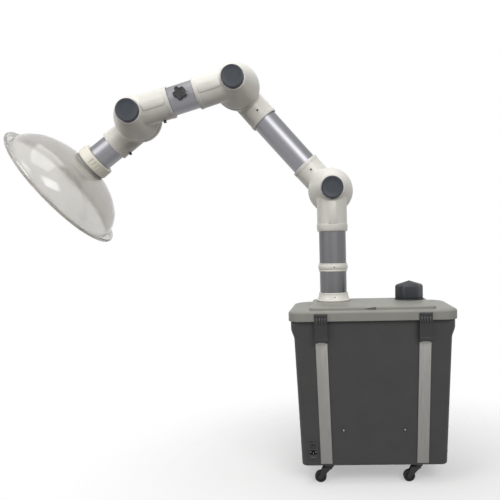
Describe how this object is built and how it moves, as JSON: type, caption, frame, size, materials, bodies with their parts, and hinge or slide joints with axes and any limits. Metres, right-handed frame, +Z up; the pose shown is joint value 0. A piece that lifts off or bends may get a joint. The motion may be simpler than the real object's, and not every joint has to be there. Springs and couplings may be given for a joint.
{
  "type": "mobile fume extractor",
  "caption": "Mobile fume extractor: wheeled tapered filter cabinet with a latched lid, a jointed tubular suction arm with friction elbows and a clear dome hood.",
  "frame": {"origin": "centre of the flat pad under the cabinet", "axes": "+X to the cabinet's right (the arm reaches to -X), +Y to its rear (the front faces -Y), +Z up"},
  "size_m": [1.2245, 0.4374, 1.1391],
  "materials": {
    "tub_plastic": "matte",
    "lid_plastic": "satin",
    "latch_plastic": "satin",
    "seal_rubber": "matte",
    "wheel_rubber": "matte",
    "black_plastic": "satin",
    "aluminium": "satin",
    "steel": "satin",
    "carbon_media": "matte",
    "filter_media": "matte",
    "ivory_plastic": "satin",
    "knob_plastic": "satin",
    "clear_plastic": "gloss"
  },
  "bodies": {
    "cabinet": {"tub": "tub_plastic", "lid": "lid_plastic", "lid_seal": "seal_rubber", "strap_left": "aluminium", "strap_right": "aluminium", "power_inlet": "black_plastic", "exhaust_grille": "black_plastic", "blower_chassis": "steel", "carbon_filter": "carbon_media", "main_filter": "filter_media", "prefilter": "filter_media", "blower_housing": "tub_plastic", "motor": "steel", "base_flange": "ivory_plastic", "lower_tube": "aluminium", "swivel_ring": "ivory_plastic"},
    "column": {"upper_tube": "aluminium", "elbow_1_front": "ivory_plastic", "joint_seal_1": "seal_rubber", "pivot_bolt_1": "steel"},
    "lower_arm": {"elbow_1_back": "ivory_plastic", "mid_tube": "aluminium", "elbow_2_back": "ivory_plastic"},
    "upper_arm": {"elbow_2_front": "ivory_plastic", "joint_seal_2": "seal_rubber", "pivot_bolt_2": "steel", "damper_tube": "aluminium", "elbow_3_front": "ivory_plastic", "joint_seal_3": "seal_rubber", "pivot_bolt_3": "steel"},
    "hood_arm": {"elbow_3_back": "ivory_plastic", "hood_tube": "aluminium"},
    "hood": {"hood_collar": "ivory_plastic", "dome_hood": "clear_plastic"},
    "damper": {"damper_blade": "steel", "damper_knob": "black_plastic"},
    "friction_knob_1": {"knob_1": "knob_plastic"},
    "friction_knob_2": {"knob_2": "knob_plastic"},
    "friction_knob_3": {"knob_3": "knob_plastic"},
    "rocker": {"rocker_switch": "black_plastic"},
    "spare_port_cap": {"port_cap": "tub_plastic"},
    "blower_wheel": {"impeller": "black_plastic"},
    "latch_lever_front_left": {"latch_front_left": "latch_plastic"},
    "caster_front_left": {"caster_fork_front_left": "black_plastic"},
    "wheel_front_left": {"caster_wheel_front_left": "wheel_rubber"},
    "latch_lever_front_right": {"latch_front_right": "latch_plastic"},
    "caster_front_right": {"caster_fork_front_right": "black_plastic"},
    "wheel_front_right": {"caster_wheel_front_right": "wheel_rubber"},
    "latch_lever_rear_left": {"latch_rear_left": "latch_plastic"},
    "caster_rear_left": {"caster_fork_rear_left": "black_plastic"},
    "wheel_rear_left": {"caster_wheel_rear_left": "wheel_rubber"},
    "latch_lever_rear_right": {"latch_rear_right": "latch_plastic"},
    "caster_rear_right": {"caster_fork_rear_right": "black_plastic"},
    "wheel_rear_right": {"caster_wheel_rear_right": "wheel_rubber"}
  },
  "joints": [
    {"name": "base_swivel", "type": "hinge", "parent": "cabinet", "child": "column", "pos_m": [-0.101, 0.062, 0.4218], "axis": [0, 0, 1], "continuous": true},
    {"name": "elbow_1", "type": "hinge", "parent": "column", "child": "lower_arm", "pos_m": [-0.10463, 0.11387, 0.7348], "axis": [-0.0698, 0.9976, 0], "range_deg": [-50, 60]},
    {"name": "elbow_2", "type": "hinge", "parent": "lower_arm", "child": "upper_arm", "pos_m": [-0.36257, 0.09584, 1.02809], "axis": [0.0698, -0.9976, 0], "range_deg": [-65, 50]},
    {"name": "elbow_3", "type": "hinge", "parent": "upper_arm", "child": "hood_arm", "pos_m": [-0.64033, 0.07641, 0.9435], "axis": [-0.0698, 0.9976, 0], "range_deg": [-70, 60]},
    {"name": "hood_turn", "type": "hinge", "parent": "hood_arm", "child": "hood", "pos_m": [-0.64395, 0.12829, 0.9435], "axis": [-0.7946, -0.0556, -0.6046], "continuous": true},
    {"name": "damper_turn", "type": "hinge", "parent": "upper_arm", "child": "damper", "pos_m": [-0.49782, 0.03425, 0.9858], "axis": [0.0698, -0.9976, 0], "range_deg": [0, 90]},
    {"name": "knob_1_turn", "type": "hinge", "parent": "column", "child": "friction_knob_1", "pos_m": [-0.10463, 0.11387, 0.7348], "axis": [0.0698, -0.9976, 0], "range_deg": [-180, 180]},
    {"name": "knob_2_turn", "type": "hinge", "parent": "upper_arm", "child": "friction_knob_2", "pos_m": [-0.36257, 0.09584, 1.02809], "axis": [0.0698, -0.9976, 0], "range_deg": [-180, 180]},
    {"name": "knob_3_turn", "type": "hinge", "parent": "upper_arm", "child": "friction_knob_3", "pos_m": [-0.64033, 0.07641, 0.9435], "axis": [0.0698, -0.9976, 0], "range_deg": [-180, 180]},
    {"name": "rocker_press", "type": "hinge", "parent": "cabinet", "child": "rocker", "pos_m": [-0.159, -0.10859, 0.06042], "axis": [1, 0, 0], "range_deg": [0, 14]},
    {"name": "cap_lift", "type": "slide", "parent": "cabinet", "child": "spare_port_cap", "axis": [0, 0, 1], "range_m": [0, 0.06]},
    {"name": "blower_spin", "type": "hinge", "parent": "cabinet", "child": "blower_wheel", "pos_m": [0.05, -0.004, 0.055], "axis": [0, 0, 1], "continuous": true},
    {"name": "latch_front_left_open", "type": "hinge", "parent": "cabinet", "child": "latch_lever_front_left", "pos_m": [-0.1315, -0.11818, 0.3365], "axis": [1, 0, 0], "range_deg": [0, 90]},
    {"name": "caster_front_left_swivel", "type": "hinge", "parent": "cabinet", "child": "caster_front_left", "pos_m": [-0.117, -0.075, 0], "axis": [0, 0, 1], "continuous": true},
    {"name": "wheel_front_left_roll", "type": "hinge", "parent": "caster_front_left", "child": "wheel_front_left", "pos_m": [-0.142, -0.075, -0.0325], "axis": [0, 1, 0], "continuous": true},
    {"name": "latch_front_right_open", "type": "hinge", "parent": "cabinet", "child": "latch_lever_front_right", "pos_m": [0.1315, -0.11818, 0.3365], "axis": [1, 0, 0], "range_deg": [0, 90]},
    {"name": "caster_front_right_swivel", "type": "hinge", "parent": "cabinet", "child": "caster_front_right", "pos_m": [0.117, -0.075, 0], "axis": [0, 0, 1], "continuous": true},
    {"name": "wheel_front_right_roll", "type": "hinge", "parent": "caster_front_right", "child": "wheel_front_right", "pos_m": [0.092, -0.075, -0.0325], "axis": [0, 1, 0], "continuous": true},
    {"name": "latch_rear_left_open", "type": "hinge", "parent": "cabinet", "child": "latch_lever_rear_left", "pos_m": [-0.1315, 0.11818, 0.3365], "axis": [-1, 0, 0], "range_deg": [0, 90]},
    {"name": "caster_rear_left_swivel", "type": "hinge", "parent": "cabinet", "child": "caster_rear_left", "pos_m": [-0.117, 0.075, 0], "axis": [0, 0, 1], "continuous": true},
    {"name": "wheel_rear_left_roll", "type": "hinge", "parent": "caster_rear_left", "child": "wheel_rear_left", "pos_m": [-0.142, 0.075, -0.0325], "axis": [0, 1, 0], "continuous": true},
    {"name": "latch_rear_right_open", "type": "hinge", "parent": "cabinet", "child": "latch_lever_rear_right", "pos_m": [0.1315, 0.11818, 0.3365], "axis": [-1, 0, 0], "range_deg": [0, 90]},
    {"name": "caster_rear_right_swivel", "type": "hinge", "parent": "cabinet", "child": "caster_rear_right", "pos_m": [0.117, 0.075, 0], "axis": [0, 0, 1], "continuous": true},
    {"name": "wheel_rear_right_roll", "type": "hinge", "parent": "caster_rear_right", "child": "wheel_rear_right", "pos_m": [0.092, 0.075, -0.0325], "axis": [0, 1, 0], "continuous": true}
  ]
}
